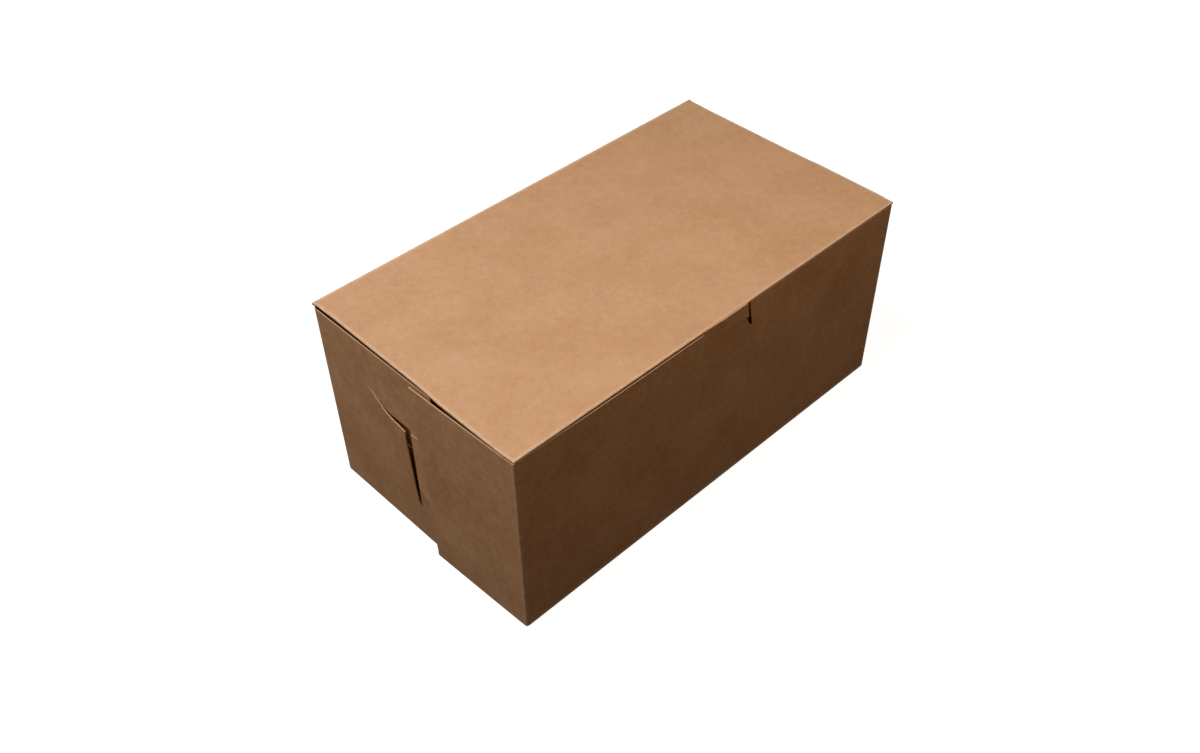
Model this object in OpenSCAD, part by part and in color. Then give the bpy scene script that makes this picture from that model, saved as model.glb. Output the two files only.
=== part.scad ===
// One-piece kraft bakery box with interlocked end flaps and a tuck lid.
// Origin at the middle of the footprint, +X along the length, the lid hinges along the back (+Y).
// The folded sheet is drawn as bands of board that follow the fold lines.

/* [Box] */
// Outside length
box_l = 228.6; // [190:0.1:280]
// Outside width, front to back
box_w = 127; // [116:0.1:160]
// Outside height to the top of the closed lid
box_h = 101.6; // [96:0.1:130]

/* [Board] */
// Thickness of the board
board_t = 0.5; // [0.4:0.05:0.7]
// Outside radius of the tray's pressed folds
fold_r = 1.2; // [1:0.1:2]
// Outside radius of the lid's folds
lid_fold_r = 0.6; // [0.6:0.05:0.7]
// Clearance between sheets that lie on each other
sheet_gap = 0.3; // [0.2:0.05:0.5]

/* [Back end flap] */
// Length of the flap, from the back corner
back_flap_l = 79; // [76:0.5:84]
// Drop of its top edge below the lid's top
back_flap_drop = 2.7; // [2.4:0.1:4]
// How far its free edge leans into the box
back_flap_in = 0.7; // [0.4:0.1:0.9]
// Distance of the upright cut from the back corner
cut_u = 59.4; // [57:0.2:62]
// Depth of the level cut below the lid's top
cut_top = 33; // [31:0.5:35]
// Depth of the foot of the upright cut
cut_foot = 82; // [78:0.5:86]
// Length of the level cut before it curves
cut_level = 9; // [6:0.5:12]
// Radius where the level cut curves upwards
cut_r = 14; // [10:1:18]
// Slope of the cut's last stretch, degrees
cut_slope = 29; // [22:1:34]
// Length of the cut's last stretch
cut_tail = 13.5; // [10:0.5:15]
// Gap above the lip, left by the cutting rule
cut_gap = 0.3; // [0.2:0.05:0.5]
// Gap beside the lip, where the tongue holds it off the cut
lip_gap = 0.9; // [0.3:0.05:1.2]
// Angle at which the cut lip springs out, degrees
lip_angle = 7; // [5:0.5:8]

/* [Front end flap] */
// Distance of its free edge from the upright cut
edge_step = 10.6; // [9:0.2:12]
// Slant of that edge from its head, nearer the back, to its foot
edge_slant = 4.3; // [0:0.1:5]
// Drop of its top edge below the lid's top
front_flap_drop = 2; // [1.8:0.1:3]
// How far the free edge springs out from the end wall
spring = 3.8; // [2:0.1:4.5]
// Depth of the tongue's top edge where it enters the cut
tongue_top = 35.8; // [35:0.2:38]
// Width of the tongue's neck
tongue_neck = 32; // [26:0.5:34]
// Reach of the tongue past the cut
tongue_l = 22; // [18:0.5:26]
// Drop of the barb under the neck
barb_drop = 7; // [4:0.5:9]

/* [Base] */
// Height of the base's own end flaps, inside the end walls
base_flap_h = 60; // [40:1:68]
// How far those flaps lean into the box at their tips
base_flap_in = 2; // [1:0.1:3]
// Slant of their ends, from foot to tip
base_flap_slant = 8; // [4:0.5:12]

/* [Lid] */
// Drop of the front wall's top edge below the lid's top
front_wall_drop = 1.9; // [1.8:0.1:2.6]
// Depth of the front tuck flap
tuck_d = 22; // [18:0.5:26]
// Depth of the side tuck flaps
side_d = 24; // [18:0.5:27]
// Angle at which the tuck flaps turn in under the lid's folds, degrees
tuck_angle = 40; // [36:1:44]
// Step of the tuck flaps' ends beside the lid's folds
flap_step = 4; // [3.5:0.5:6]
// Slant of the tuck flaps' ends, from fold to tip
flap_slant = 5; // [3:0.5:7]
// Radius of the flaps' loose corners
corner_r = 3; // [2:0.5:5]

/* [Front lock] */
// Distance of the wall's slot from the middle of the box
slot_x = 15.5; // [12:0.5:18]
// Width of the slot
slot_w = 1.3; // [1.1:0.1:1.6]
// Depth of the slot below the lid's top
slot_d = 14.8; // [12:0.2:18]
// Sideways run of the slot below the tab
slot_run = 1.8; // [0.5:0.1:3]
// Length of the tab that hangs outside the wall
tab_l = 28.8; // [24:0.2:32]
// Depth of the tab
tab_d = 8.5; // [7:0.5:10]
// Slant of the tab's loose end
tab_slant = 6; // [4:0.5:8]

/* [Hidden] */
foot_gap = 0.2; // the flaps' lower edges ride just clear of the table
bend_steps = 6; // flats in one pressed fold
half_l = box_l / 2;
half_w = box_w / 2;
head_room = board_t + sheet_gap; // from the lid's top down to the back wall
knee = board_t + 2 * sheet_gap; // the lid's flaps step in by this much under their folds
tongue_in = back_flap_in + board_t + sheet_gap; // the tongue lies behind the back flap
base_in = tongue_in + board_t + sheet_gap; // the base's end flaps lie behind the tongue
base_corner = fold_r + sheet_gap; // they end clear of the upright folds
side_in = back_flap_in + board_t + sheet_gap; // the lid's side flaps hang behind the back flap
side_tip_in = side_in + sheet_gap; // and lean in a little
before_cut = 2 * board_t; // the tongue starts to dip this far before the cut
behind_cut = 3 * board_t + 2; // and has passed behind the back flap this far after it
front_edge_u = cut_u + edge_step;
fold_apex = lid_fold_r * (tan(90 - tuck_angle / 2) - 1); // a lid fold's sharp corner lies this far outside it
tuck_knee_d = (knee + fold_apex) * tan(tuck_angle);
side_knee_d = (side_in + fold_apex) * tan(tuck_angle);
wall_r = box_w - board_t; // from the hinge to the front wall's inner face
tuck_tip_in = board_t + sheet_gap + wall_r - sqrt(wall_r * wall_r - tuck_d * tuck_d); // the tip swings clear of it
cut_lean = atan2(back_flap_in, back_flap_l);
web_x = slot_x - slot_w / 2 + sheet_gap / 2; // the tab's turned-in end runs along the slot's left side
board_colour = [0.69, 0.53, 0.38];
lid_colour = [0.76, 0.6, 0.44];

function unit(v) = v / norm(v);
function left(v) = [-v[1], v[0]];
function flipped(p) = [for (i = [len(p) - 1:-1:0]) p[i]];
function mirrored(p) = [for (i = [len(p) - 1:-1:0]) [-p[i][0], p[i][1], radius(p[i])]];

// Points of the arc of radius r that rounds the corner b between a and c
function corner(a, b, c, r) = r == 0 ? [b] : let (
    p = unit(a - b),
    q = unit(c - b),
    half = acos(p * q) / 2,
    centre = b + unit(p + q) * r / sin(half),
    from = b + p * r / tan(half) - centre,
    turn = (90 - half) * 2 * sign(cross(p, q)) * -1
) [for (i = [0:bend_steps]) let (w = turn * i / bend_steps)
    centre + [from[0] * cos(w) - from[1] * sin(w), from[0] * sin(w) + from[1] * cos(w)]];

// An open path, and a closed outline, of points [x, y] or [x, y, corner radius]
function xy(p) = [p[0], p[1]];
function radius(p) = len(p) > 2 ? p[2] : 0;
function path(p) = let (n = len(p)) [for (i = [0:n - 1])
    each (i == 0 || i == n - 1) ? [xy(p[i])] : corner(xy(p[i - 1]), xy(p[i]), xy(p[i + 1]), radius(p[i]))];
function outline(p) = let (n = len(p)) [for (i = [0:n - 1])
    each corner(xy(p[(i + n - 1) % n]), xy(p[i]), xy(p[(i + 1) % n]), radius(p[i]))];

// A path moved to its left by d
function shifted(p, d) = let (n = len(p)) [for (i = [0:n - 1]) let (
    before = left(unit(p[max(i, 1)] - p[max(i, 1) - 1])),
    after = left(unit(p[min(i, n - 2) + 1] - p[min(i, n - 2)])),
    m = unit(before + after)
) p[i] + m * d / (m * after)];

// The section of a strip of board whose outer face follows a path
function band(p) = concat(p, flipped(shifted(p, board_t)));

// A point on the end wall, u from the back corner and v below the lid's top
function at_end(u, v, r = 0) = [half_w - u, box_h - v, r];

// Extrudes a drawing of the y-z plane along the whole length, or along x from x0 for a length of dx
module along_x(x0 = -box_l, dx = 2 * box_l) {
    translate([x0, 0, 0]) rotate([90, 0, 90]) linear_extrude(dx) children();
}

// Extrudes a drawing of the x-z plane along y from y0 to y1
module along_y(y0, y1) {
    translate([0, y1, 0]) rotate([90, 0, 0]) linear_extrude(y1 - y0) children();
}

// Plan of a front flap, from its tongue round the upright fold
front_plan = path([
    [-half_l + tongue_in, half_w - cut_u + tongue_l],
    [-half_l + tongue_in, half_w - cut_u + behind_cut],
    [-half_l - board_t, half_w - cut_u - before_cut],
    [-half_l - spring, half_w - front_edge_u - board_t],
    [-half_l, -half_w, fold_r],
    [-half_l + 2 * fold_r, -half_w]
]);

// Plan of a back flap
back_plan = path([
    [-half_l + 2 * fold_r, half_w],
    [-half_l, half_w, fold_r],
    [-half_l + back_flap_in, half_w - back_flap_l]
]);

// The curved cut: level, then an arc, then a straight tail up towards the back
cut_corner = [cut_u, cut_top];
cut_bend = [cut_u - cut_level, cut_top];
cut_bend_end = cut_bend + cut_r * [-sin(cut_slope), cos(cut_slope) - 1];
cut_end = cut_bend_end + cut_tail * [-cos(cut_slope), -sin(cut_slope)];
cut_line = concat(
    [[cut_u, cut_foot], cut_corner],
    [for (i = [0:bend_steps]) let (w = cut_slope * i / bend_steps) cut_bend + cut_r * [-sin(w), cos(w) - 1]],
    [cut_end]
);

// The free edge's distance from the back corner at depth v
function edge_u(v) = front_edge_u + edge_slant * (v / box_h - 0.7);

// The lip's outline on the flap, drawn back from the cut by du and dv
function lip_outline(du, dv) = [for (p = cut_line) [half_w - p[0] + du, box_h - p[1] - dv]];

module back_flap_shape() {
    difference() {
        polygon(outline([
            at_end(-1, back_flap_drop),
            at_end(back_flap_l, back_flap_drop, corner_r),
            at_end(back_flap_l, box_h - foot_gap, corner_r),
            at_end(-1, box_h - foot_gap)
        ]));
        polygon(lip_outline(0, 0));
    }
}

// The part of the back flap inside the cut, bent out about the line between the cut's two ends
module sprung_lip() {
    foot = [board_t, -cut_u + lip_gap, box_h - cut_foot - cut_gap];
    head = [board_t, -cut_end[0] + lip_gap, box_h - cut_end[1] - cut_gap];
    translate([-half_l, half_w, 0])
        rotate([0, 0, cut_lean])
            translate(foot)
                rotate(a = -lip_angle, v = head - foot)
                    translate(-foot)
                        along_x(0, board_t)
                            translate([-half_w, 0]) polygon(lip_outline(lip_gap, cut_gap));
}

module front_flap_shape() {
    neck_u = cut_u - behind_cut - board_t;
    polygon(outline([
        at_end(box_w + 1, front_flap_drop),
        at_end(edge_u(0), front_flap_drop, corner_r / 2),
        at_end(edge_u(tongue_top), tongue_top - edge_step / 2),
        at_end(cut_u, tongue_top, corner_r),
        at_end(cut_u - tongue_l, tongue_top + corner_r, corner_r),
        at_end(cut_u - tongue_l, tongue_top + tongue_neck, corner_r),
        at_end(neck_u - corner_r, tongue_top + tongue_neck + barb_drop, corner_r),
        at_end(neck_u, tongue_top + tongue_neck),
        at_end(edge_u(tongue_top + tongue_neck), tongue_top + tongue_neck),
        at_end(edge_u(box_h), box_h - foot_gap, board_t),
        at_end(box_w + 1, box_h - foot_gap)
    ]));
}

// The slot that the lid's tab passes through: upright behind the tab, then leaning below it
module slot_shape() {
    polygon([
        [slot_x - slot_w / 2, box_h],
        [slot_x - slot_w / 2, box_h - tab_d - sheet_gap],
        [slot_x + slot_run, box_h - slot_d],
        [slot_x + slot_run + slot_w / 2, box_h - slot_d],
        [slot_x + slot_w / 2, box_h - tab_d - sheet_gap],
        [slot_x + slot_w / 2, box_h]
    ]);
}

// A wall between the two upright folds, from its lower fold to a drop below the lid's top
module wall_shape(drop) {
    translate([-half_l + fold_r, fold_r]) square([box_l - 2 * fold_r, box_h - drop - fold_r]);
}

module front_wall() {
    along_y(-half_w, -half_w + board_t)
        difference() {
            wall_shape(front_wall_drop);
            slot_shape();
        }
}

module back_wall() {
    along_y(half_w - board_t, half_w) wall_shape(head_room);
}

// The tongue passes through the back flap's cut, and the lip springs out in front of it
module end_lock() {
    intersection() {
        linear_extrude(box_h) polygon(band(front_plan));
        along_x() front_flap_shape();
    }
    intersection() {
        linear_extrude(box_h) polygon(band(back_plan));
        along_x() back_flap_shape();
    }
    sprung_lip();
}

// The base and the folds that carry the front and back walls, with a relief at each end
module base_sheet() {
    x1 = half_l - fold_r;
    end_relief = base_in + fold_r;
    difference() {
        along_x(-x1, 2 * x1)
            polygon(band(path([
                [-half_w, 2 * fold_r],
                [-half_w, 0, fold_r],
                [half_w, 0, fold_r],
                [half_w, 2 * fold_r]
            ])));
        for (side = [-1, 1])
            translate([side * half_l - end_relief, -half_w + base_corner, -1])
                cube([2 * end_relief, box_w - 2 * base_corner, 2 + board_t]);
    }
}

// The base's own end flaps, which stand behind the interlocked ones
module base_end_flaps() {
    x1 = half_l - base_in;
    y1 = half_w - base_corner;
    intersection() {
        along_y(-half_w, half_w)
            polygon(band(path([
                [-x1 + base_flap_in, base_flap_h],
                [-x1, 0, fold_r],
                [x1, 0, fold_r],
                [x1 - base_flap_in, base_flap_h]
            ])));
        along_x()
            polygon(outline([
                [-y1, -1, 0],
                [y1, -1, 0],
                [y1, 2 * fold_r, 0],
                [y1 - base_flap_slant, base_flap_h, corner_r],
                [-y1 + base_flap_slant, base_flap_h, corner_r],
                [-y1, 2 * fold_r, 0]
            ]));
    }
}

module tray() {
    color(board_colour) {
        base_sheet();
        base_end_flaps();
        front_wall();
        back_wall();
        end_lock();
        mirror([1, 0, 0]) end_lock();
    }
}

// How far inside the front wall's outer face the tuck flap lies at depth v
function tuck_in(v) = knee + (tuck_tip_in - knee) * (v - tuck_knee_d) / (tuck_d - tuck_knee_d);

// The panel and front tuck flap in one section, and the panel and side flaps in another
front_section = band(path([
    [half_w, box_h],
    [-half_w - fold_apex, box_h, lid_fold_r],
    [-half_w + knee, box_h - tuck_knee_d],
    [-half_w + tuck_tip_in, box_h - tuck_d]
]));
side_half = [
    [half_l - side_tip_in, box_h - side_d, 0],
    [half_l - side_in, box_h - side_knee_d, 0],
    [half_l + fold_apex, box_h, lid_fold_r]
];
side_section = band(path(concat(side_half, mirrored(side_half))));

// The outline of a tuck flap: its fold runs from a to b, and its loose edge lies at depth d
module tuck_outline(a, b, d) {
    polygon(outline([
        [a, box_h + 1, 0],
        [a, box_h - 2 * lid_fold_r, 0],
        [a + flap_step, box_h - 2 * lid_fold_r - flap_step / 2, 0],
        [a + flap_step + flap_slant, box_h - d, corner_r],
        [b - flap_step - flap_slant, box_h - d, corner_r],
        [b - flap_step, box_h - 2 * lid_fold_r - flap_step / 2, 0],
        [b, box_h - 2 * lid_fold_r, 0],
        [b, box_h + 1, 0]
    ]));
}

// The lock tab's outline, grown by g on its loose sides
module tab_outline(g) {
    polygon(outline([
        [slot_x - tab_l - g, box_h + 1, 0],
        [slot_x - tab_l - g, box_h - board_t, 0],
        [slot_x - tab_l + tab_slant - g, box_h - tab_d - g, corner_r / 2],
        [web_x + board_t - g, box_h - tab_d - g, 0],
        [web_x + board_t - g, box_h + 1, 0]
    ]));
}

module tuck_flap() {
    difference() {
        intersection() {
            along_x() polygon(front_section);
            along_y(-half_w - 5, half_w + 1) tuck_outline(-half_l + lid_fold_r, half_l - lid_fold_r, tuck_d + 1);
        }
        along_y(-half_w - 5, -half_w + tuck_tip_in + 1) tab_notch();
    }
}

// What the tab leaves open in the fold and the tuck flap
module tab_notch() {
    intersection() {
        tab_outline(board_t);
        translate([-half_l, 0]) square([box_l, box_h - board_t]);
    }
}

module side_flaps() {
    intersection() {
        along_y(-half_w, half_w) polygon(side_section);
        along_x() tuck_outline(-half_w + lid_fold_r, half_w - head_room, side_d + 1);
    }
}

// The tab hangs outside the wall, and its right end turns in through the slot to the tuck flap
module lock_tab() {
    out = board_t + sheet_gap;
    intersection() {
        along_x()
            polygon(band(path([
                [0, box_h],
                [-half_w - out, box_h, lid_fold_r],
                [-half_w - out, box_h - 2 * tab_d]
            ])));
        along_y(-half_w - 5, half_w) tab_outline(0);
    }
    along_x(web_x, board_t)
        polygon([
            [-half_w - out + board_t / 2, box_h - board_t / 2],
            [-half_w + knee + board_t / 2, box_h - board_t / 2],
            [-half_w + knee + board_t / 2, box_h - tuck_knee_d],
            [-half_w + tuck_in(tab_d) + board_t / 2, box_h - tab_d],
            [-half_w - out, box_h - tab_d],
            [-half_w - out, box_h - lid_fold_r]
        ]);
}

module lid() {
    color(lid_colour) {
        tuck_flap();
        side_flaps();
        lock_tab();
    }
}

tray();
lid();
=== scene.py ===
# Kraft bakery box: one folded sheet with interlocked end flaps, and a lid that tucks in behind the front wall.
import bpy
import math
import numpy as np
from mathutils import Matrix, Vector


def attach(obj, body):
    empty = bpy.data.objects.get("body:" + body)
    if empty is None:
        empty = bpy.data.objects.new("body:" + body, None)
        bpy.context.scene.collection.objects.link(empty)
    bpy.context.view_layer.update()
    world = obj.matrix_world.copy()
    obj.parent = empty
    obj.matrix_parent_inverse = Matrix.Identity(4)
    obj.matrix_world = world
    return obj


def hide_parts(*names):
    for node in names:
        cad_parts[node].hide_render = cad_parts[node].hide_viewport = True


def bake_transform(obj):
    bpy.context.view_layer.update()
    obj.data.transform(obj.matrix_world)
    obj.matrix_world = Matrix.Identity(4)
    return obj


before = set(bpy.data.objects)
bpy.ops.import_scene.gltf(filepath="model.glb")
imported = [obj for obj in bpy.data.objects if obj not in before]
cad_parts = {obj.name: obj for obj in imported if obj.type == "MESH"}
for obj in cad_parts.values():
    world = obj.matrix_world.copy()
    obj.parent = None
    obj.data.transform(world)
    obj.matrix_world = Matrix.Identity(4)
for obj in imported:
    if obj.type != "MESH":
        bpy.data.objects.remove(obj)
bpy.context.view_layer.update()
print("frame loaded")

mm = 0.001

# outside sizes in mm, as in the part's source
box = {
    "length": 228.6,
    "width": 127.0,
    "height": 101.6,
    "board": 0.5,
    "trayFold": 1.2,   # outside radius of the tray's pressed folds
    "lidFold": 0.6,    # outside radius of the lid's folds
    "foldFade": 0.5,   # how far the stretched fibres reach beside a fold
    "trayWear": 0.35,  # how worn the tray's pressed folds are beside the lid's
    "weld": 0.001,     # outer points closer than this are one point
}
halfL = box["length"] / 2
halfW = box["width"] / 2
height = box["height"]


# Even steps from a to b, with finer ones within a few mm of the ends named in fine, and the places in keep
def places(a, b, step, fine="", keep=()):
    count = max(2, int(round(abs(b - a) / step)) + 1)
    out = list(np.linspace(a, b, count))
    way = 1 if b > a else -1
    near = np.array([0.35, 0.8, 1.4, 2.2])
    if "a" in fine:
        out += list(a + way * near)
    if "b" in fine:
        out += list(b - way * near)
    out = np.array(out)
    for k in keep:  # a kept place pushes out the even ones too close to it
        out = out[np.abs(out - k) > 0.24]
    out = np.unique(np.round(np.append(out, keep), 5))
    return out if b > a else out[::-1]


# Rows between control lines: lines is (columns, k), and each gap between two lines gets its count of even steps
def rowsBetween(lines, counts):
    parts = [lines[:, :1]]
    for k, count in enumerate(counts):
        share = np.arange(1, count + 1) / count
        parts.append(lines[:, k:k + 1] * (1 - share) + lines[:, k + 1:k + 2] * share)
    return np.concatenate(parts, axis=1)


def smooth(x, a, b):  # 0 below a, 1 above b, an S between
    t = np.clip((x - a) / (b - a), 0, 1)
    return t * t * (3 - 2 * t)


# How far a rounded corner of radius r cuts back the edge at a distance d from the corner's side
def cornerCut(d, r):
    d = np.clip(r - d, 0, r)
    return r - np.sqrt(r * r - d * d)


# A patch of board: the outer face is a grid of points, and the inner face lies one thickness behind it,
# against the cross product of the two grid directions. fold says how close each point is to a fold, and
# rounding moves both faces alike, after the normals are known.
def patch(points, cells=None, fold=None, flip=False, at=(0, 0), rounding=0, finish=0):
    along = np.gradient(points, axis=0)
    down = np.gradient(points, axis=1)
    normal = np.cross(along, down)
    normal /= np.linalg.norm(normal, axis=2, keepdims=True)
    if flip:
        normal = -normal
    stepI = np.linalg.norm(np.diff(points, axis=0), axis=2)
    stepJ = np.linalg.norm(np.diff(points, axis=1), axis=2)
    mid = points.shape[1] // 2
    u = np.concatenate([[0], np.cumsum(stepI[:, mid])])[:, None] + np.zeros(points.shape[:2])
    v = np.concatenate([np.zeros((len(points), 1)), np.cumsum(stepJ, axis=1)], axis=1)
    sheet = np.stack([u + at[0], v + at[1]], axis=2)
    n, m = points.shape[:2]
    return {
        "outer": points + rounding,
        "inner": points + rounding - box["board"] * normal,
        "cells": np.ones((n - 1, m - 1), bool) if cells is None else cells,
        "fold": np.zeros((n, m)) if fold is None else fold + np.zeros((n, m)),
        "sheet": sheet,
        "flip": flip,
        "finish": finish,
    }


# The same patch on the other end of the box
def otherEnd(p):
    side = np.array([-1, 1, 1])
    q = {key: p[key][::-1] for key in ("outer", "inner", "cells", "fold", "sheet")}
    q["outer"], q["inner"] = q["outer"] * side, q["inner"] * side
    q["sheet"] = q["sheet"] * np.array([-1, 1]) + np.array([900, 0])
    q["flip"], q["finish"] = p["flip"], p["finish"]
    return q


# Joins patches into one board: outer points at one place are welded, every outer point has its partner inside,
# and each edge that only one cell uses is a cut edge, closed by a strip from the outer to the inner face.
# The last of the materials is for the cut edges, and a patch's finish numbers the others.
def boardPiece(name, patches, materials):
    outer = np.concatenate([p["outer"].reshape(-1, 3) for p in patches])
    inner = np.concatenate([p["inner"].reshape(-1, 3) for p in patches])
    fold = np.concatenate([p["fold"].ravel() for p in patches])
    sheet = np.concatenate([p["sheet"].reshape(-1, 2) for p in patches])
    quads, finishes, start = [], [], 0
    for p in patches:
        n, m = p["outer"].shape[:2]
        ids = np.arange(n * m).reshape(n, m) + start
        q = np.stack([ids[:-1, :-1], ids[1:, :-1], ids[1:, 1:], ids[:-1, 1:]], axis=2)[p["cells"]]
        quads.append(q[:, ::-1] if p["flip"] else q)
        finishes.append(np.full(len(q), p["finish"]))
        start += n * m
    raw = np.concatenate(quads)
    spots = np.round(outer / box["weld"]).astype(np.int64)
    _, first, weld = np.unique(spots, axis=0, return_index=True, return_inverse=True)
    weld = weld.ravel()
    used = np.zeros(len(first), bool)
    used[weld[raw].ravel()] = True
    renumber = np.cumsum(used) - 1
    ids = renumber[weld]
    first = first[used]
    count = len(first)
    summed = np.zeros((len(used), 3))
    shares = np.zeros(len(used))
    inUse = np.zeros(len(outer), bool)
    inUse[raw.ravel()] = True
    np.add.at(summed, weld[inUse], inner[inUse])
    np.add.at(shares, weld[inUse], 1)
    innerOne = (summed / np.maximum(shares, 1)[:, None])[used]
    points = np.concatenate([outer[first], innerOne]) * mm
    rawEdges = np.concatenate([np.stack([raw[:, k], raw[:, (k + 1) % 4]], axis=1) for k in range(4)])
    edges = ids[rawEdges]
    keys = np.sort(edges, axis=1)
    _, inverse, times = np.unique(keys, axis=0, return_inverse=True, return_counts=True)
    free = times[inverse.ravel()] == 1
    a, b = edges[free, 0], edges[free, 1]
    rawA, rawB = rawEdges[free, 0], rawEdges[free, 1]
    faces = np.concatenate([
        ids[raw],
        ids[raw][:, ::-1] + count,
        np.stack([a, a + count, b + count, b], axis=1),
    ])
    corners = np.concatenate([raw, raw[:, ::-1], np.stack([rawA, rawA, rawB, rawB], axis=1)])
    mesh = bpy.data.meshes.new(name)
    mesh.from_pydata(points.tolist(), [], faces.tolist())
    uv = mesh.uv_layers.new(name="sheet")
    uv.data.foreach_set("uv", (sheet[corners.ravel()] * mm).astype(np.float32).ravel())
    wear = mesh.attributes.new("foldWear", "FLOAT", "POINT")
    wear.data.foreach_set("value", np.tile(fold[first], 2).astype(np.float32))
    for material in materials:
        mesh.materials.append(material)
    kinds = np.full(len(faces), len(materials) - 1, np.int32)
    kinds[:2 * len(raw)] = np.tile(np.concatenate(finishes), 2)
    mesh.polygons.foreach_set("material_index", kinds)
    mesh.polygons.foreach_set("use_smooth", np.ones(len(faces), bool))
    mesh.set_sharp_from_angle(angle=math.radians(48))
    mesh.update()
    piece = bpy.data.objects.new(name, mesh)
    bpy.context.scene.collection.objects.link(piece)
    print(name, "made,", len(faces), "faces")
    return piece


# ---- materials


# sRGB hex to linear: a straight foot below 0.04045, and a power of 2.4 above it
def linear(hexColour):
    c = np.array([int(hexColour[k:k + 2], 16) / 255 for k in (1, 3, 5)])
    c = np.where(c <= 0.04045, c / 12.92, ((c + 0.055) / 1.055) ** 2.4)
    return (*[float(x) for x in c], 1.0)


# Adds a node; settings are its own properties or its sockets' values, and links go from other sockets to its own
def addNode(tree, kind, settings=None, links=None):
    node = tree.nodes.new(kind)
    for key, value in (settings or {}).items():
        if isinstance(key, str) and hasattr(node, key):
            setattr(node, key, value)
        else:
            node.inputs[key].default_value = value
    for socket, source in (links or {}).items():
        tree.links.new(source, node.inputs[socket])
    return node


kraft = {
    "pale": "#DBAE88",      # the sheet's lighter clouds
    "deep": "#C89971",      # and its darker ones
    "paleShaded": "#DAA67B",   # the same sheet made darker and browner as painted shade, for the tray and the lid's turned-down flaps
    "deepPressed": "#B07B4F",
    "fibre": "#E6BE98",     # single bleached fibres
    "strand": "#A97C55",    # single dark ones
    "fleck": "#5F432D",     # bark specks
    "fold": "#EBC8A6",      # stretched fibres on a fold
    "cut": "#D0A47E",       # die-cut edge: the same kraft, made lighter as a painted highlight
    "cloud": 30,            # mm, formation clouds
    "blotch": 4.5,          # mm
    "grain": 1.6,           # mm, drawn coarser than real fibres so that it shows
    "fibreLong": 3.6,       # mm
    "fibreWide": 0.7,       # mm
    "fleckPitch": 11,       # mm between specks
    "fleckSize": 0.24,      # mm, radius
}
# dirt specks that show on the lid, as x, y in mm from the middle and radius in mm
lidSpecks = [(-60.3, 16.5, 0.42), (-40.3, -4.5, 0.34), (94.7, -12.5, 0.36), (-8.3, 33.5, 0.25)]


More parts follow.
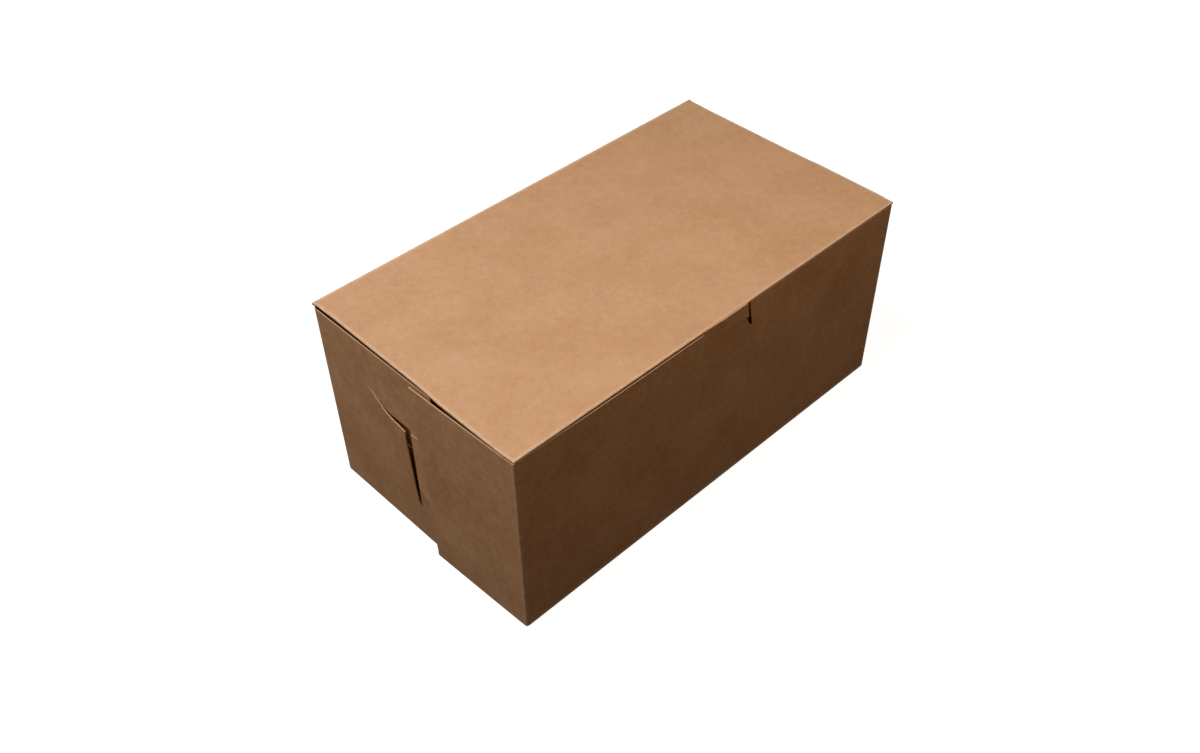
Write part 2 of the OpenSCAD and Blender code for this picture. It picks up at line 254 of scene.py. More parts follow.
# Kraft paperboard, uncoated, calendered on one side: matt, brown, with cloudy formation, loose fibres and bark specks
def kraftBoard(name, pale, deep, fibres, specks=()):
    material = bpy.data.materials.new(name)
    material.use_nodes = True
    tree = material.node_tree
    shader = tree.nodes["Principled BSDF"]
    sheet = addNode(tree, "ShaderNodeUVMap", {"uv_map": "sheet"}).outputs["UV"]

    # a noise whose grains measure size mm across and longer times that along the direction turn
    def noise(size, detail=2.0, rough=0.5, longer=1.0, turn=0.0, distort=0.0):
        place = addNode(tree, "ShaderNodeMapping", {
            "vector_type": "TEXTURE", "Rotation": (0, 0, turn), "Scale": (size * longer * mm, size * mm, 1),
        }, {"Vector": sheet}).outputs["Vector"]
        return addNode(tree, "ShaderNodeTexNoise", {
            "noise_dimensions": "2D", "Scale": 1.0, "Detail": detail, "Roughness": rough, "Distortion": distort,
        }, {"Vector": place}).outputs["Fac"]

    def ramp(value, low, high, a=0.0, b=1.0):  # a at low, b at high, straight between
        return addNode(tree, "ShaderNodeMapRange", {"From Min": low, "From Max": high, "To Min": a, "To Max": b},
                       {"Value": value}).outputs["Result"]

    def mix(amount, a, b):
        node = addNode(tree, "ShaderNodeMix", {"data_type": "RGBA"})
        for socket, value in ((0, amount), (6, a), (7, b)):
            if isinstance(value, bpy.types.NodeSocket):
                tree.links.new(value, node.inputs[socket])
            else:
                node.inputs[socket].default_value = value
        return node.outputs[2]

    def both(a, b, how="MULTIPLY"):  # two numbers or sockets, joined by one sum
        node = addNode(tree, "ShaderNodeMath", {"operation": how})
        for socket, value in ((0, a), (1, b)):
            if isinstance(value, bpy.types.NodeSocket):
                tree.links.new(value, node.inputs[socket])
            else:
                node.inputs[socket].default_value = value
        return node.outputs[0]

    cloud = noise(kraft["cloud"], 3.0, 0.55)
    blotch = noise(kraft["blotch"], 3.0, 0.6)
    grain = noise(kraft["grain"], 1.0, 0.5)
    tone = both(both(ramp(cloud, 0.3, 0.7), 0.4), both(ramp(blotch, 0.25, 0.75), 0.4), "ADD")
    tone = both(tone, both(ramp(grain, 0.2, 0.8), 0.2), "ADD")
    colour = mix(tone, linear(deep), linear(pale))
    longer = kraft["fibreLong"] / kraft["fibreWide"]
    for turn, shade, share in ((0.3, "fibre", 1), (1.9, "fibre", 1), (-0.7, "strand", 0.5), (1.1, "strand", 0.5)):
        strand = noise(kraft["fibreWide"], 1.0, 0.4, longer, turn, 0.8)
        colour = mix(ramp(strand, 0.64, 0.76, 0, fibres * share), colour, linear(kraft[shade]))
    # bark specks: one place in each cell of the pitch, and the cells drawn at random give them a size or none
    speck = addNode(tree, "ShaderNodeTexVoronoi",
                    {"voronoi_dimensions": "2D", "Scale": 1 / (kraft["fleckPitch"] * mm)}, {"Vector": sheet})
    chosen = addNode(tree, "ShaderNodeSeparateColor", {}, {"Color": speck.outputs["Color"]}).outputs["Red"]
    reach = ramp(chosen, 0.35, 1.0, 0.0, kraft["fleckSize"] / kraft["fleckPitch"])
    near = both(reach, speck.outputs["Distance"], "SUBTRACT")
    colour = mix(ramp(near, 0.0, 0.004, 0, 0.75), colour, linear(kraft["fleck"]))
    if specks:
        place = addNode(tree, "ShaderNodeTexCoord").outputs["Object"]
        for x, y, r in specks:
            away = addNode(tree, "ShaderNodeVectorMath",
                           {"operation": "DISTANCE", 1: (x * mm, y * mm, height * mm)}, {0: place}).outputs["Value"]
            colour = mix(ramp(away, r * mm, r * mm * 1.4, 0.8, 0), colour, linear(kraft["fleck"]))
    wear = addNode(tree, "ShaderNodeAttribute", {"attribute_name": "foldWear"}).outputs["Fac"]
    worn = both(wear, ramp(blotch, 0.2, 0.7, 0.35, 0.8))
    colour = mix(worn, colour, linear(kraft["fold"]))
    tree.links.new(colour, shader.inputs["Base Color"])
    rough = ramp(blotch, 0.2, 0.8, 0.78, 0.88)
    tree.links.new(rough, shader.inputs["Roughness"])
    shader.inputs["IOR"].default_value = 1.45
    shader.inputs["Specular IOR Level"].default_value = 0.12
    relief = both(both(grain, 0.6), both(blotch, 0.7), "ADD")
    bump = addNode(tree, "ShaderNodeBump", {"Strength": 0.35, "Distance": 0.00012}, {"Height": relief})
    tree.links.new(bump.outputs["Normal"], shader.inputs["Normal"])
    return material


# the tray and the lid's flaps take a darker, browner copy of the board: painted shade, not a different sheet
shadedBoard = kraftBoard("kraftPaperboardShadedCopy", kraft["paleShaded"], kraft["deepPressed"], 0.22)
lidBoard = kraftBoard("kraftPaperboardLid", kraft["pale"], kraft["deep"], 0.2, lidSpecks)
# the cut edges get a lighter, even colour: a painted highlight, as their core is the same kraft
cutEdgeHighlight = kraftBoard("kraftPaperboardCutEdgePaintedHighlight", kraft["cut"], kraft["cut"], 0.2)
print("board materials made")

# ---- tray

wallRun = halfL - box["trayFold"]      # where the walls' upright folds begin
lipCorner = np.array([58.95, 33.45])     # the cut's corner: mm from the back corner, and below the lid's top
lock = {
    "backLength": 77.0, "backDrop": 3.4, "backCorner": 0.6,   # back flap: length, top edge's drop, corners' radius
    "backIn": 0.7,          # how far the back flap's free edge leans in
    "cutEnd": (30.9, 24.7), "cutFoot": 83.4,   # the cut's end, as lipCorner, and the depth of its foot
    "tailGap": 0.45,        # how far the curved cut stands open
    # depth, and how wide the upright cut stands open there
    "cutGap": ((34, 38, 46, 70, 80), (0.9, 1.3, 1.5, 1.65, 1.4)),
    "lipOut": 1.95,         # how far the lip's corner springs out
    "lipCurve": 0.9,        # below 1 it bends most at its hinge line
    # front flap: its free edge, and its top edge's drop there and at the corner
    "frontEdge": 70.0, "frontDrop": 1.9, "cornerDrop": 2.0,
    "edgeHead": -3.0, "edgeFoot": 1.0,       # how far the free edge is moved at its head and its foot
    "springHead": 2.15, "springFoot": 2.5,   # how far the front flap's free edge stands out, at its head and its foot
    "springCurve": 0.9,     # below 1 the flap bends most near its free edge
    "tongueTip": 37.4, "neck": (35.8, 67.8), "barb": 74.8,    # tongue: its tip, its neck's depths, its barb's depth
    "tongueIn": 3.2,        # how deep the tongue lies behind the end wall's face
    "footGap": 0.2,         # the flaps end this far above the table
}
# the walls' slight curve, in mm: the front wall's belly and top edge, the back wall, and the dent under the tab
bow = {"front": 0.2, "frontTop": 0.45, "back": 0.3, "underTab": 0.6}
# the front wall's slot: its sides lean by tabRun down to tabDepth, and by run at its foot
slot = {"x": 14.15, "width": 2.5, "tabDepth": 8.8, "depth": 14.8, "tabRun": 1.4, "run": 3.3, "footWidth": 1.4}
# the lid's tab: how far it hangs off the wall at its right and left end, and the radius of its turned-in end
tab = {"left": -13.3, "right": 13.55, "depth": 8.3, "slant": 5.6, "out": 0.56, "outLeft": 0.05, "fold": 0.25}
relief = {"x": 109.9, "y": 62.0}     # the base's end relief: the base's own end flap begins at x and is 2 y wide
slotEdges = (slot["x"] - slot["width"] / 2, slot["x"] + slot["width"] / 2)

besideTab = np.arange(-14.6, -6.4, 0.7)      # the wall is pressed in behind the tab's slanted end
wallX = places(-wallRun, wallRun, 4.0, "ab", [-relief["x"], relief["x"], *slotEdges, *besideTab, 12.5, 17.0, 18.5])
wallX = wallX[(wallX < slotEdges[0] + 0.01) | (wallX > slotEdges[1] - 0.01)]
arcSteps = np.linspace(0, math.pi / 2, 9)
foldX = box["trayWear"] * np.exp(-((wallRun - np.abs(wallX)) / box["foldFade"]) ** 2)


# 1 on a fold, falling off beside it as a bell curve
def foldBeside(distance):
    return np.exp(-(np.abs(distance) / box["foldFade"]) ** 2)


# The curved cut: level beside its corner, then a bend, then a run up to its end, softened by a short average
def cutLine(u):
    endU, endV = lock["cutEnd"]
    near = [np.interp(u + d, [endU, 33.4, 36.8, 39.9, 42.8, 45.6, 48.3, 51.7],
                      [endV, 26.8, 28.4, 30.6, 32.4, 33.3, 33.5, lipCorner[1]]) for d in (-0.8, 0, 0.8)]
    return np.where(u <= endU, endV, sum(near) / 3)


backCounts = (10, 30, 8)     # rows above the cut, beside it and below it

# Back end flap: u runs from its free edge to the back corner, v downwards. The lip is the cell block inside the cut,
# pushed out by the distance past the line between the cut's two ends, to a power.
u = places(lock["backLength"], box["trayFold"], 2.0, "ab",
           [lock["backLength"], lipCorner[0], lock["cutEnd"][0], 43.6, 50.4])
trim = cornerCut(lock["backLength"] - u, lock["backCorner"])
lines = np.stack([lock["backDrop"] + trim, cutLine(u), np.full(len(u), lock["cutFoot"]),
                  height - lock["footGap"] - trim], axis=1)
v = rowsBetween(lines, backCounts)
uu = u[:, None] + np.zeros_like(v)
lean = lock["backIn"] * (uu - box["trayFold"]) / (lock["backLength"] - box["trayFold"])
flat = np.stack([-halfL + lean, halfW - uu, height - v], axis=2)
foldU = box["trayWear"] * foldBeside(uu - box["trayFold"])
rowCut, rowFoot = backCounts[0], backCounts[0] + backCounts[1]
colCorner = int(np.argmin(np.abs(u - lipCorner[0])))
colEnd = int(np.argmin(np.abs(u - lock["cutEnd"][0])))
lipCells = np.zeros((len(u) - 1, v.shape[1] - 1), bool)
lipCells[colCorner:colEnd, rowCut:rowFoot] = True
hingeA, hingeB = np.array(lock["cutEnd"]), np.array([lipCorner[0], lock["cutFoot"]])
way = (hingeB - hingeA) / np.linalg.norm(hingeB - hingeA)


# Distance past the lip's hinge line, 0 before it
def pastHinge(pu, pv):
    return np.maximum((pu - hingeA[0]) * way[1] - (pv - hingeA[1]) * way[0], 0)


share = pastHinge(uu, v) / pastHinge(*lipCorner)
lipOut = lock["lipOut"] * share ** lock["lipCurve"]
lip = flat.copy()
lip[..., 0] -= lipOut
# the tongue holds the lip off the cut's upright, and its tail stays a little open
lip[..., 1] += np.interp(v, *lock["cutGap"]) * smooth(share, 0.0, 0.06) * smooth(uu, 47, 58.5)
lip[..., 2] -= lock["tailGap"] * smooth(share, 0.0, 0.1)
trayPatches = [
    patch(flat, ~lipCells, foldU, at=(0, 0)),
    patch(lip, lipCells, foldU, at=(0, 0)),
]
backFlapWidth = lock["backLength"] - box["trayFold"]

# The upright fold at the back corner: an arc whose rows run from the flap's lines to the wall's
wallTopBack = 2.5    # the crease strip carries on above this
r = box["trayFold"]
turn = arcSteps[:, None]
t = turn / (math.pi / 2)
flapLines = lines[-1][None, :]
wallLinesBack = np.array([[wallTopBack, lock["cutEnd"][1], lock["cutFoot"], height - r]])
arcRows = rowsBetween(flapLines * (1 - t) + wallLinesBack * t, backCounts)
arc = np.stack([-halfL + r - r * np.cos(turn) + 0 * arcRows, halfW - r + r * np.sin(turn) + 0 * arcRows,
                height - arcRows], axis=2)
trayPatches.append(patch(arc, fold=box["trayWear"], at=(backFlapWidth, 0)))
trayPatches += [otherEnd(p) for p in trayPatches]

# Back wall, bowed in a little: a half wave of the cosine along it, times a half wave of the sine down it
rows = rowsBetween(wallLinesBack + np.zeros((len(wallX), 4)), backCounts)
xx = wallX[:, None] + 0 * rows
inward = bow["back"] * np.cos(xx / wallRun * math.pi / 2)
inward *= np.sin((rows - wallTopBack) / (height - r - wallTopBack) * math.pi)
wall = np.stack([xx, halfW - inward, height - rows], axis=2)
foldV = foldBeside(height - r - rows)
trayPatches.append(patch(wall, fold=np.maximum(foldX[:, None], foldV), at=(backFlapWidth + 2, 0)))

# Front end flap: it stands out by the share of the way from the corner to its free edge, to a power. Between the
# neck's two lines the tongue bends in through the cut and lies behind the back flap.
frontCounts = (11, 5, 14, 10)
u = places(lock["tongueTip"], box["width"] - box["trayFold"], 2.0, "b",
           [lock["tongueTip"], 39.4, 46.0, 51.4, 54.4, 55.6, 57.4, 58.6, 58.95, 59.25, 59.6, 60.3,
            lock["frontEdge"], 70.25, 70.6, 71.4])
trim = cornerCut(u - lock["frontEdge"], 0.3) * (u >= lock["frontEdge"])
topLine = np.interp(u, [37.4, 39.4, 46, 54.4, 57.4, 58.6, 58.95, 70.0, 126],
                    [56, 53, 51, 50, 49, 47, lock["neck"][0], 30.5, 30.5])
lowLine = np.interp(u, [37.4, 39.4, 51.4, 54.4, 55.6, 126],
                    [66, 69, lock["barb"], lock["barb"] - 2, lock["neck"][1], lock["neck"][1]])
topEdge = np.interp(u, [lock["frontEdge"], box["width"]], [lock["frontDrop"], lock["cornerDrop"]])
lines = np.stack([topEdge + trim, np.full(len(u), slot["depth"]), topLine, lowLine,
                  height - lock["footGap"] - trim], axis=1)
v = rowsBetween(lines, frontCounts)
uu = u[:, None] + np.zeros_like(v)
spring = lock["springHead"] + (lock["springFoot"] - lock["springHead"]) * v / height
edge = box["width"] - box["trayFold"]
straight = spring * np.clip((edge - uu) / (edge - lock["frontEdge"]), 0, 1) ** lock["springCurve"]
# the tongue comes down flush with the back flap, turns in sharply at the cut's upright, and lies behind the flap
neckIn = spring * smooth(uu, 59.6, 73) ** 0.8
diveIn = np.interp(uu, [58.6, 58.95, 59.25, 59.6, 60.3], [-1, -0.5, -0.3, -0.15, 0.0]) * lock["tongueIn"]
dip = neckIn + diveIn
inNeck = smooth(v, 26, 33) * (1 - smooth(v, 67.8, 76)) * (1 - smooth(uu, 73, 78))
inNeck = np.where(uu < lock["frontEdge"], 1, inNeck)
out = straight * (1 - inNeck) + dip * inNeck
# the free edge slants: nearer the back at its head, nearer the front at its foot
slantBy = lock["edgeHead"] + (lock["edgeFoot"] - lock["edgeHead"]) * v / height
slantBy *= smooth(uu, 60, lock["frontEdge"]) * (1 - smooth(uu, 72, 110))
flap = np.stack([-halfL - out, halfW - uu - slantBy, height - v], axis=2)
cells = np.ones((len(u) - 1, v.shape[1] - 1), bool)
colEdge = int(np.argmin(np.abs(u - lock["frontEdge"])))
rowNeck, rowLow = sum(frontCounts[:2]), sum(frontCounts[:3])
cells[:colEdge, :rowNeck] = False
cells[:colEdge, rowLow:] = False
frontPatches = [patch(flap, cells, box["trayWear"] * foldBeside(edge - uu), flip=True, at=(0, 150))]
frontFlapWidth = edge - lock["tongueTip"]

frontTop = 1.5
wallLinesFront = np.array([[frontTop, slot["depth"], 30.5, lock["neck"][1], height - r]])
arcRows = rowsBetween(lines[-1][None, :] * (1 - t) + wallLinesFront * t, frontCounts)
arc = np.stack([-halfL + r - r * np.cos(turn) + 0 * arcRows, -halfW + r - r * np.sin(turn) + 0 * arcRows,
                height - arcRows], axis=2)
frontPatches.append(patch(arc, fold=box["trayWear"], flip=True, at=(frontFlapWidth, 150)))
trayPatches += frontPatches + [otherEnd(p) for p in frontPatches]

# Front wall, bowed out as the back wall is bowed in, pushed out at its lit top edge and in under the tab.
# The slot for the lid's tab is a missing column, whose sides lean and come closer below the tab.
rows = rowsBetween(wallLinesFront + np.zeros((len(wallX), 5)), frontCounts)
xx = wallX[:, None] + 0 * rows
fading = 1 - smooth(rows, slot["depth"], 28)
leaning = np.interp(rows, [frontTop, slot["tabDepth"], slot["depth"]], [0, slot["tabRun"], slot["run"]]) * fading
narrow = (slot["width"] - slot["footWidth"]) / 2 * smooth(rows, slot["tabDepth"], slot["depth"]) * fading
close = np.exp(-((xx - slot["x"]) / 6) ** 2)
shifted = xx + close * (leaning - np.sign(xx - slot["x"]) * narrow)
outward = bow["front"] * np.cos(xx / wallRun * math.pi / 2)
outward *= np.sin((rows - frontTop) / (height - r - frontTop) * math.pi)
outward += bow["frontTop"] * smooth(xx, -wallRun, -70) * (1 - smooth(xx, -15, -12.6)) * (1 - smooth(rows, 0, 45))
tabEnd = tab["left"] + tab["slant"] * rows / tab["depth"]
outward -= bow["underTab"] * smooth(xx - tabEnd, 0.1, 1.2) * (1 - smooth(xx, -2, 12)) * (1 - smooth(rows, 7.5, 9.5))
wall = np.stack([shifted, -halfW - outward, height - rows], axis=2)
cells = np.ones((len(wallX) - 1, rows.shape[1] - 1), bool)
colSlot = int(np.argmin(np.abs(wallX - slotEdges[0])))
cells[colSlot, :frontCounts[0]] = False
foldV = foldBeside(height - r - rows)
trayPatches.append(patch(wall, cells, np.maximum(foldX[:, None], foldV), flip=True, at=(frontFlapWidth + 2, 150)))

# Base with the arcs that carry the front and back walls; beyond the end reliefs only those arcs go on
baseY = places(-halfW + r, halfW - r, 4.0, "ab", [-relief["y"], relief["y"]])
front = np.stack([-halfW + r - r * np.cos(arcSteps), r - r * np.sin(arcSteps)], axis=1)
ends = np.stack([baseY, np.zeros(len(baseY))], axis=1)
section = np.concatenate([front[:-1], ends, (front * np.array([-1, 1]))[::-1][1:]])
base = np.stack([wallX[:, None] + 0 * section[None, :, 0], section[None, :, 0] + 0 * wallX[:, None],
                 section[None, :, 1] + 0 * wallX[:, None]], axis=2)
middle = (section[:-1, 0] + section[1:, 0]) / 2
inRelief = (np.abs(wallX[:-1] + wallX[1:]) / 2 > relief["x"])[:, None] & (np.abs(middle) < relief["y"])[None, :]
foldY = np.where(section[:, 1] > 1e-6, 1.0, foldBeside(halfW - r - np.abs(section[:, 0])))
trayPatches.append(patch(base, ~inRelief, foldY[None, :] + np.zeros(base.shape[:2]), flip=True, at=(0, 320)))

# The base's own end flap, which folds up inside the end walls
inFlap = {"lean": 2.0, "height": 60.0, "slantFrom": 2.4, "slant": 8.0, "cornerR": 3.0}
yCols = baseY[np.abs(baseY) <= relief["y"] + box["weld"]]
rise = places(r, inFlap["height"], 3.5, "a", [inFlap["slantFrom"]])
path = np.concatenate([
    np.stack([-relief["x"] - r * np.sin(arcSteps), r - r * np.cos(arcSteps)], axis=1),
    np.stack([-relief["x"] - r + inFlap["lean"] * (rise[1:] - r) / (inFlap["height"] - r), rise[1:]], axis=1),
])
lift = path[:, 1][:, None]
slantShare = np.clip((lift - inFlap["slantFrom"]) / (inFlap["height"] - inFlap["slantFrom"]), 0, 1)
narrowing = 1 - inFlap["slant"] / relief["y"] * slantShare
cut = cornerCut(relief["y"] - np.abs(yCols), inFlap["cornerR"])[None, :] * (lift / inFlap["height"]) ** 8
upFlap = np.stack([path[:, 0][:, None] + 0 * yCols[None, :], yCols[None, :] * narrowing, lift + 0 * cut], axis=2)
rounding = -cut[..., None] * np.array([0, 0, 1])
foldUp = np.concatenate([np.ones(len(arcSteps)), foldBeside(rise[1:] - r)])
upPatch = patch(upFlap, fold=foldUp[:, None] * box["trayWear"] + 0 * cut, at=(0, 500), rounding=rounding)
trayPatches += [upPatch, otherEnd(upPatch)]

tray = boardPiece("shadedBoard", trayPatches, [shadedBoard, cutEdgeHighlight])
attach(tray, "tray")
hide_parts("tray")

# ---- lid

lidRun = {"x": halfL - box["lidFold"], "front": -halfW + box["lidFold"], "back": 63.3, "crease": 61.0}
# how far the side folds stand out past the end walls, by the distance from the back corner
sideEdge = ((0, 1, 3.5, 8, 15, 40, 68, 78, 84, 118, 126.3, 127),
            (0.6, 0.45, -0.05, 0.0, -0.25, -0.15, -0.15, 0.1, 0.5, 0.45, 0.0, 0.0))
tuck = {
    "angle": 140,                    # degrees that the fold turns, so that the flap steps in under it
    "frontDepth": 22.0, "frontIn": 2.73, "frontKnee": (1.1, 1.80),
    "sideDepth": 24.0, "sideIn": 8.6, "sideKnee": (3.6, 3.9),
    "step": 4.0, "slantFrom": 3.2, "slant": 5.0, "cornerR": 3.0, "notch": 9.0, "behindSlot": 1.2,
}
# the lid's panel isn't flat: it sags in the middle, is sunk behind its edges, and has soft creases across it,
# as x, height and width in mm
lidShape = {"sag": 0.35, "sunk": 0.25, "creases": ((9.5, 0.16, 9.0), (48.0, 0.08, 8.0))}
lidX = places(-lidRun["x"], lidRun["x"], 3.0, "ab", [-wallRun, wallRun, tab["left"], tab["right"] - tab["fold"]])
lidY = places(lidRun["front"], lidRun["back"], 3.0, "a", [lidRun["crease"], 62.0, 62.4, 62.8])
edgeOut = np.interp(halfW - lidY, *sideEdge)
crease = {"radius": 1.1, "wall": height - wallTopBack, "lid": lidRun["crease"]}
# the panel's two back corners round off as the crease beside them does
earDrop = cornerCut(halfW - lidY, crease["radius"])


# Top of the panel: a shallow dish with a low rounded ridge at each crease, level at the edges
def lidTop(x, y):
    middleX = np.cos(np.clip(x / lidRun["x"], -1, 1) * math.pi / 2)
    middleY = np.cos(np.clip(y / 62.9, -1, 1) * math.pi / 2)
    edgeX = 1 - smooth(np.abs(x), 100, lidRun["x"])
    edgeY = smooth(y, lidRun["front"], -50) * (1 - smooth(y, 45, 61))
    ridges = sum(h * np.exp(-((x - c) / w) ** 2) for c, h, w in lidShape["creases"])
    return -lidShape["sag"] * middleX * middleY - (lidShape["sunk"] - ridges) * edgeX * edgeY


xx, yy = np.meshgrid(lidX, lidY, indexing="ij")
stretched = xx + np.sign(xx) * edgeOut[None, :] * smooth(np.abs(xx), 109, lidRun["x"])
panel = np.stack([stretched, yy, height + lidTop(xx, yy) - earDrop[None, :]], axis=2)
foldPanel = np.maximum(foldBeside(lidRun["x"] - np.abs(xx)), foldBeside(yy - lidRun["front"]))
# the crease to the back wall takes the panel's place behind its own line, but for the two corners
midX, midY = (lidX[:-1] + lidX[1:]) / 2, (lidY[:-1] + lidY[1:]) / 2
cells = (midY < lidRun["crease"])[None, :] | (np.abs(midX) > wallRun)[:, None]
lidPatches = [patch(panel, cells, foldPanel, at=(0, 700))]

r = box["lidFold"]
foldTurn = np.radians(np.linspace(0, tuck["angle"], 13))
arcOut, arcDown = r * np.sin(foldTurn), r - r * np.cos(foldTurn)


# A tuck flap's section: out round the fold, in under it to the knee, and down to the tip; out and depth in mm
def tuckSection(knee, depth, inside, rowsDown, keep=()):
    down = places(knee[1], depth, rowsDown, "", [knee[1], *keep])
    tilt = (down - knee[1]) / (depth - knee[1])
    outs = np.concatenate([arcOut, [(arcOut[-1] + r - knee[0]) / 2], r - (knee[0] + (inside - knee[0]) * tilt)])
    depths = np.concatenate([arcDown, [(arcDown[-1] + knee[1]) / 2], down])
    return outs, depths


# How far a tuck flap's ends are drawn in at each depth: a step beside the fold, then a slant to the tip
def drawnIn(depths, deepest):
    step = tuck["step"] * np.clip((depths - 2 * r) / 2, 0, 1)
    return step + tuck["slant"] * np.clip((depths - tuck["slantFrom"]) / (deepest - tuck["slantFrom"]), 0, 1)


outs, depths = tuckSection(tuck["sideKnee"], tuck["sideDepth"], tuck["sideIn"], 2.5)
yMid, yHalf = (lidRun["front"] + lidRun["back"]) / 2, (lidRun["back"] - lidRun["front"]) / 2
pull = drawnIn(depths, tuck["sideDepth"])[:, None]
yRow = yMid + (lidY[None, :] - yMid) * (1 - pull / yHalf)
lose = cornerCut(yHalf - np.abs(lidY - yMid), tuck["cornerR"])[None, :] * (depths[:, None] / tuck["sideDepth"]) ** 8
side = np.stack([-lidRun["x"] - outs[:, None] - edgeOut[None, :], yRow, height - depths[:, None] + 0 * lose], axis=2)
foldSide = np.where(np.arange(len(outs)) < len(arcOut), 1.0, 0.0)[:, None] + np.zeros(yRow.shape)
sidePatch = patch(side, fold=foldSide, flip=True, at=(0, 850), finish=1,
                  rounding=(lose - earDrop[None, :])[..., None] * np.array([0, 0, 1]))
lidPatches += [sidePatch, otherEnd(sidePatch)]

outs, depths = tuckSection(tuck["frontKnee"], tuck["frontDepth"], tuck["frontIn"], 2.5, [tuck["notch"]])
pull = drawnIn(depths, tuck["frontDepth"])[:, None]
xRow = lidX[None, :] * (1 - pull / lidRun["x"])
lose = cornerCut(lidRun["x"] - np.abs(lidX), tuck["cornerR"])[None, :] * (depths[:, None] / tuck["frontDepth"]) ** 8
# behind the slot the flap is pressed a little further in
atSlot = smooth(depths, 1.8, 5) * (1 - smooth(depths, 12, 20))
pressed = tuck["behindSlot"] * np.exp(-((xRow - 17.5) / 5) ** 2) * atSlot[:, None]
tuckFlap = np.stack([xRow, lidRun["front"] - outs[:, None] + pressed, height - depths[:, None] + 0 * lose], axis=2)
cells = np.ones((len(outs) - 1, len(lidX) - 1), bool)
rowNotch = int(np.argmin(np.abs(depths - tuck["notch"])))
colLeft = int(np.argmin(np.abs(lidX - tab["left"])))
colRight = int(np.argmin(np.abs(lidX - tab["right"] + tab["fold"])))
cells[:rowNotch, colLeft:colRight] = False
foldFront = np.where(np.arange(len(outs)) < len(arcOut), 1.0, 0.0)[:, None] + np.zeros(xRow.shape)
lidPatches.append(patch(tuckFlap, cells, foldFront, at=(0, 1000), finish=1,
                        rounding=lose[..., None] * np.array([0, 0, 1])))

# The panel's front corners, where both folds round off together
quarter = np.radians(np.linspace(0, 90, 7))
a, b = np.meshgrid(quarter, quarter, indexing="ij")
cornerPoints = np.stack([-lidRun["x"] - r * np.sin(a), lidRun["front"] - r * np.sin(b),
                         height - 2 * r + r * (np.cos(a) + np.cos(b))], axis=2)
cornerPatch = patch(cornerPoints, fold=1.0, at=(0, 1100))
lidPatches += [cornerPatch, otherEnd(cornerPatch)]

# Lock tab: the panel runs on past the fold, turns down outside the wall, and its right end turns in through the slot
tabX = lidX[colLeft:colRight + 1]
tabTurn = np.radians(np.linspace(0, 90, 9))
along = (tabX - tabX[0]) / (tabX[-1] - tabX[0])
reach = tab["outLeft"] + (tab["out"] - tab["outLeft"]) * smooth(along, 0, 0.5)
down = places(r, tab["depth"], 1.0, "", [r, tab["depth"]])
tabReach = np.concatenate([[0, 0.5], np.ones(len(tabTurn) + len(down) - 1)])
tabOut = np.concatenate([[0, 0], r * np.sin(tabTurn), np.full(len(down) - 1, r)])[:, None]
tabOut = tabOut + tabReach[:, None] * reach[None, :]
tabDown = np.concatenate([[0, 0], r - r * np.cos(tabTurn), down[1:]])
taper = tab["slant"] * tabDown / tab["depth"]
lean = slot["tabRun"] * tabDown / tab["depth"]
xTab = tabX[None, :] + taper[:, None] * (1 - along[None, :]) + lean[:, None] * along[None, :]
roundOff = cornerCut((tabX - tabX[0]), 1.2)[None, :] * (tabDown[:, None] / tab["depth"]) ** 6
tabPoints = np.stack([xTab, lidRun["front"] - tabOut, height - tabDown[:, None] + 0 * xTab], axis=2)
foldTab = np.where((tabDown > 0) & (tabDown < r), 0.8, 0.0)[:, None] + np.zeros(xTab.shape)
lidPatches.append(patch(tabPoints, fold=foldTab, at=(0, 1200), finish=1,
                        rounding=roundOff[..., None] * np.array([0, 0, 1])))

# The tab's turned-in end: a quarter turn round its right edge, then straight back through the slot
webTurn = np.radians(np.linspace(0, 90, 7))
webR = tab["fold"]
webX = tab["right"] - webR + webR * np.concatenate([np.sin(webTurn), [1, 1]])
frontFace = lidRun["front"] - tab["out"] - r
webY = np.concatenate([frontFace + webR - webR * np.cos(webTurn), [-62.9, -61.0]])
webDown = np.linspace(r, tab["depth"], 6)
web = np.stack([webX[:, None] + slot["tabRun"] / tab["depth"] * webDown[None, :],
                webY[:, None] + 0 * webDown[None, :], height - webDown[None, :] + 0 * webX[:, None]], axis=2)
lidPatches.append(patch(web, fold=0.3, flip=True, at=(0, 1250), finish=1))

# finish 1, the lid's turned-down flaps and tab, takes the darker painted-shade copy of the board
lid = boardPiece("lidBoard", lidPatches, [lidBoard, shadedBoard, cutEdgeHighlight])
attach(lid, "lid")
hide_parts("lid")

# Crease between the back wall and the lid: round the back corner
r = crease["radius"]
creaseTurn = np.radians(np.linspace(0, 90, 11))
sectionY = np.concatenate([[halfW, halfW], halfW - r + r * np.cos(creaseTurn),
                           [(halfW - r + crease["lid"]) / 2, crease["lid"]]])
sectionZ = np.concatenate([[crease["wall"], (crease["wall"] + height - r) / 2],
                           height - r + r * np.sin(creaseTurn), [height, height]])
foldCrease = np.concatenate([[0, 0.5], np.ones(len(creaseTurn)), [0.5, 0]])
creasePoints = np.stack([wallX[:, None] + 0 * sectionY[None, :], sectionY[None, :] + 0 * wallX[:, None],
                         sectionZ[None, :] + 0 * wallX[:, None]], axis=2)
creasePatch = patch(creasePoints, fold=foldCrease[None, :], flip=True, at=(0, 1300))
strip = boardPiece("lidCrease", [creasePatch], [lidBoard, cutEdgeHighlight])
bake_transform(strip)
print("lid made")

# ---- floor, light and camera

stage = {
    "background": 1.0,
    # the paper's own colour, and its lift to white near the box and far off, at those distances in m
    "paper": 0.35, "glow": (0.93, 1.0), "glowFrom": (0.12, 0.6),
    "keyPower": 4.3, "keySize": 0.34, "keyPlace": (-0.367, 0.098, 0.753),
    "fillPower": 0.6, "fillSize": 0.3, "fillPlace": (0.084, -0.27, 0.472), "fillColour": "#FFE4C2",
    "world": 0.022,
}
scene = bpy.context.scene
scene.view_settings.view_transform = "Standard"


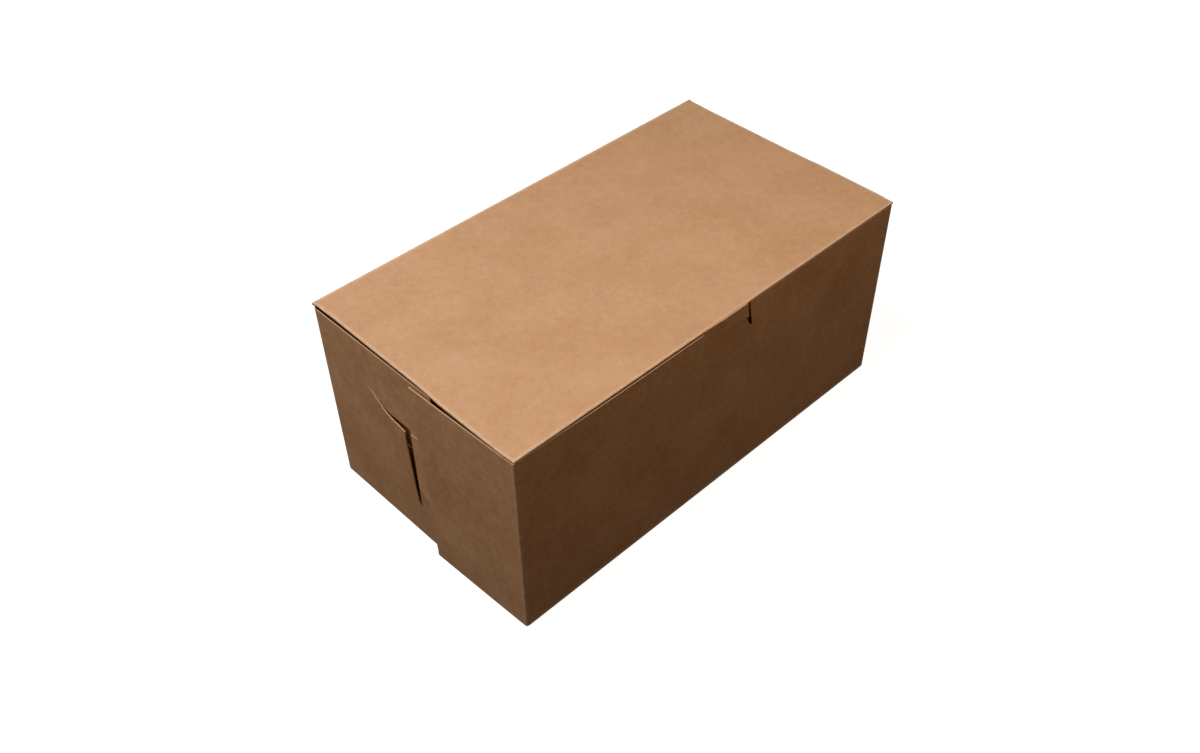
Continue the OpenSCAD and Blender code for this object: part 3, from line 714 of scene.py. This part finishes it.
# A level square of the stage at the height z
def flatSheet(name, half, z):
    mesh = bpy.data.meshes.new(name)
    mesh.from_pydata([(-half, -half, z), (half, -half, z), (half, half, z), (-half, half, z)], [], [(0, 1, 2, 3)])
    piece = bpy.data.objects.new(name, mesh)
    scene.collection.objects.link(piece)
    return piece


# 1 for rays from the camera, and for those that a gloss or a clear sheet passes on
def seenRay(tree):
    ray = addNode(tree, "ShaderNodeLightPath").outputs
    most = {"operation": "MAXIMUM"}
    seen = addNode(tree, "ShaderNodeMath", most, {0: ray["Is Camera Ray"], 1: ray["Is Glossy Ray"]})
    return addNode(tree, "ShaderNodeMath", most, {0: seen.outputs[0], 1: ray["Is Transmission Ray"]})


# White paper sweep: the camera sees it lit to white with the box's soft shadow, other rays see a greyer sheet
floor = flatSheet("floorSweep", 6.0, -0.00005)
paper = bpy.data.materials.new("paperSweep")
paper.use_nodes = True
tree = paper.node_tree
tree.nodes.clear()
seen = seenRay(tree)
litPaper = addNode(tree, "ShaderNodeBsdfDiffuse", {"Color": (*[stage["paper"]] * 3, 1)})
place = addNode(tree, "ShaderNodeTexCoord").outputs["Object"]
away = addNode(tree, "ShaderNodeVectorMath", {"operation": "LENGTH"}, {0: place}).outputs["Value"]
lift = addNode(tree, "ShaderNodeMapRange", {
    "From Min": stage["glowFrom"][0], "From Max": stage["glowFrom"][1],
    "To Min": stage["glow"][0], "To Max": stage["glow"][1],
}, {"Value": away})
glow = addNode(tree, "ShaderNodeEmission", {"Color": (1, 1, 1, 1)}, {"Strength": lift.outputs["Result"]})
bright = addNode(tree, "ShaderNodeAddShader", {}, {0: litPaper.outputs[0], 1: glow.outputs[0]})
dull = addNode(tree, "ShaderNodeBsdfDiffuse", {"Color": (0.035, 0.03, 0.025, 1)})
both = addNode(tree, "ShaderNodeMixShader", {}, {0: seen.outputs[0], 1: dull.outputs[0], 2: bright.outputs[0]})
addNode(tree, "ShaderNodeOutputMaterial", {}, {"Surface": both.outputs[0]})
floor.data.materials.append(paper)

world = bpy.data.worlds.new("studio")
scene.world = world
world.use_nodes = True
tree = world.node_tree
tree.nodes.clear()
seen = seenRay(tree)
dim = addNode(tree, "ShaderNodeBackground", {"Color": (1, 0.97, 0.94, 1), "Strength": stage["world"]})
white = addNode(tree, "ShaderNodeBackground", {"Color": (1, 1, 1, 1), "Strength": stage["background"]})
both = addNode(tree, "ShaderNodeMixShader", {}, {0: seen.outputs[0], 1: dim.outputs[0], 2: white.outputs[0]})
addNode(tree, "ShaderNodeOutputWorld", {}, {"Surface": both.outputs[0]})


# A square lamp that faces the middle of the box
def softBox(name, place, size, power, colour="#FFFFFF"):
    data = bpy.data.lights.new(name, "AREA")
    data.shape, data.size, data.energy = "SQUARE", size, power
    data.color = linear(colour)[:3]
    lamp = bpy.data.objects.new(name, data)
    lamp.location = place
    lamp.rotation_euler = (Vector((0, 0, 0.05)) - Vector(place)).to_track_quat("-Z", "Y").to_euler()
    scene.collection.objects.link(lamp)
    return lamp


softBox("keyBox", stage["keyPlace"], stage["keySize"], stage["keyPower"])
softBox("fillBox", stage["fillPlace"], stage["fillSize"], stage["fillPower"], stage["fillColour"])

# the photograph's camera, from the box's own corners
view = {"azimuth": 43.55, "elevation": 43.35, "roll": -0.74, "away": 558.6, "right": 7.43, "up": 18.29,
        "focal": 1206.5, "frame": 1200.0, "sensor": 36.0}
az, el, roll = (math.radians(view[k]) for k in ("azimuth", "elevation", "roll"))
ahead = Vector((math.sin(az) * math.cos(el), math.cos(az) * math.cos(el), -math.sin(el)))
level = Vector((math.cos(az), -math.sin(az), 0))
upright = level.cross(ahead)
right = math.cos(roll) * level + math.sin(roll) * upright
above = -math.sin(roll) * level + math.cos(roll) * upright
place = (Vector((0, 0, height / 2)) - view["away"] * ahead - view["right"] * right - view["up"] * above) * mm
cameraData = bpy.data.cameras.new("camera")
cameraData.lens = view["focal"] / view["frame"] * view["sensor"]
cameraData.sensor_width = view["sensor"]
cameraData.clip_start, cameraData.clip_end = 0.01, 50
camera = bpy.data.objects.new("camera", cameraData)
axes = Matrix((right, above, -ahead)).transposed().to_4x4()
axes.translation = place
camera.matrix_world = axes
scene.collection.objects.link(camera)
scene.camera = camera
print("floor, light and camera set")
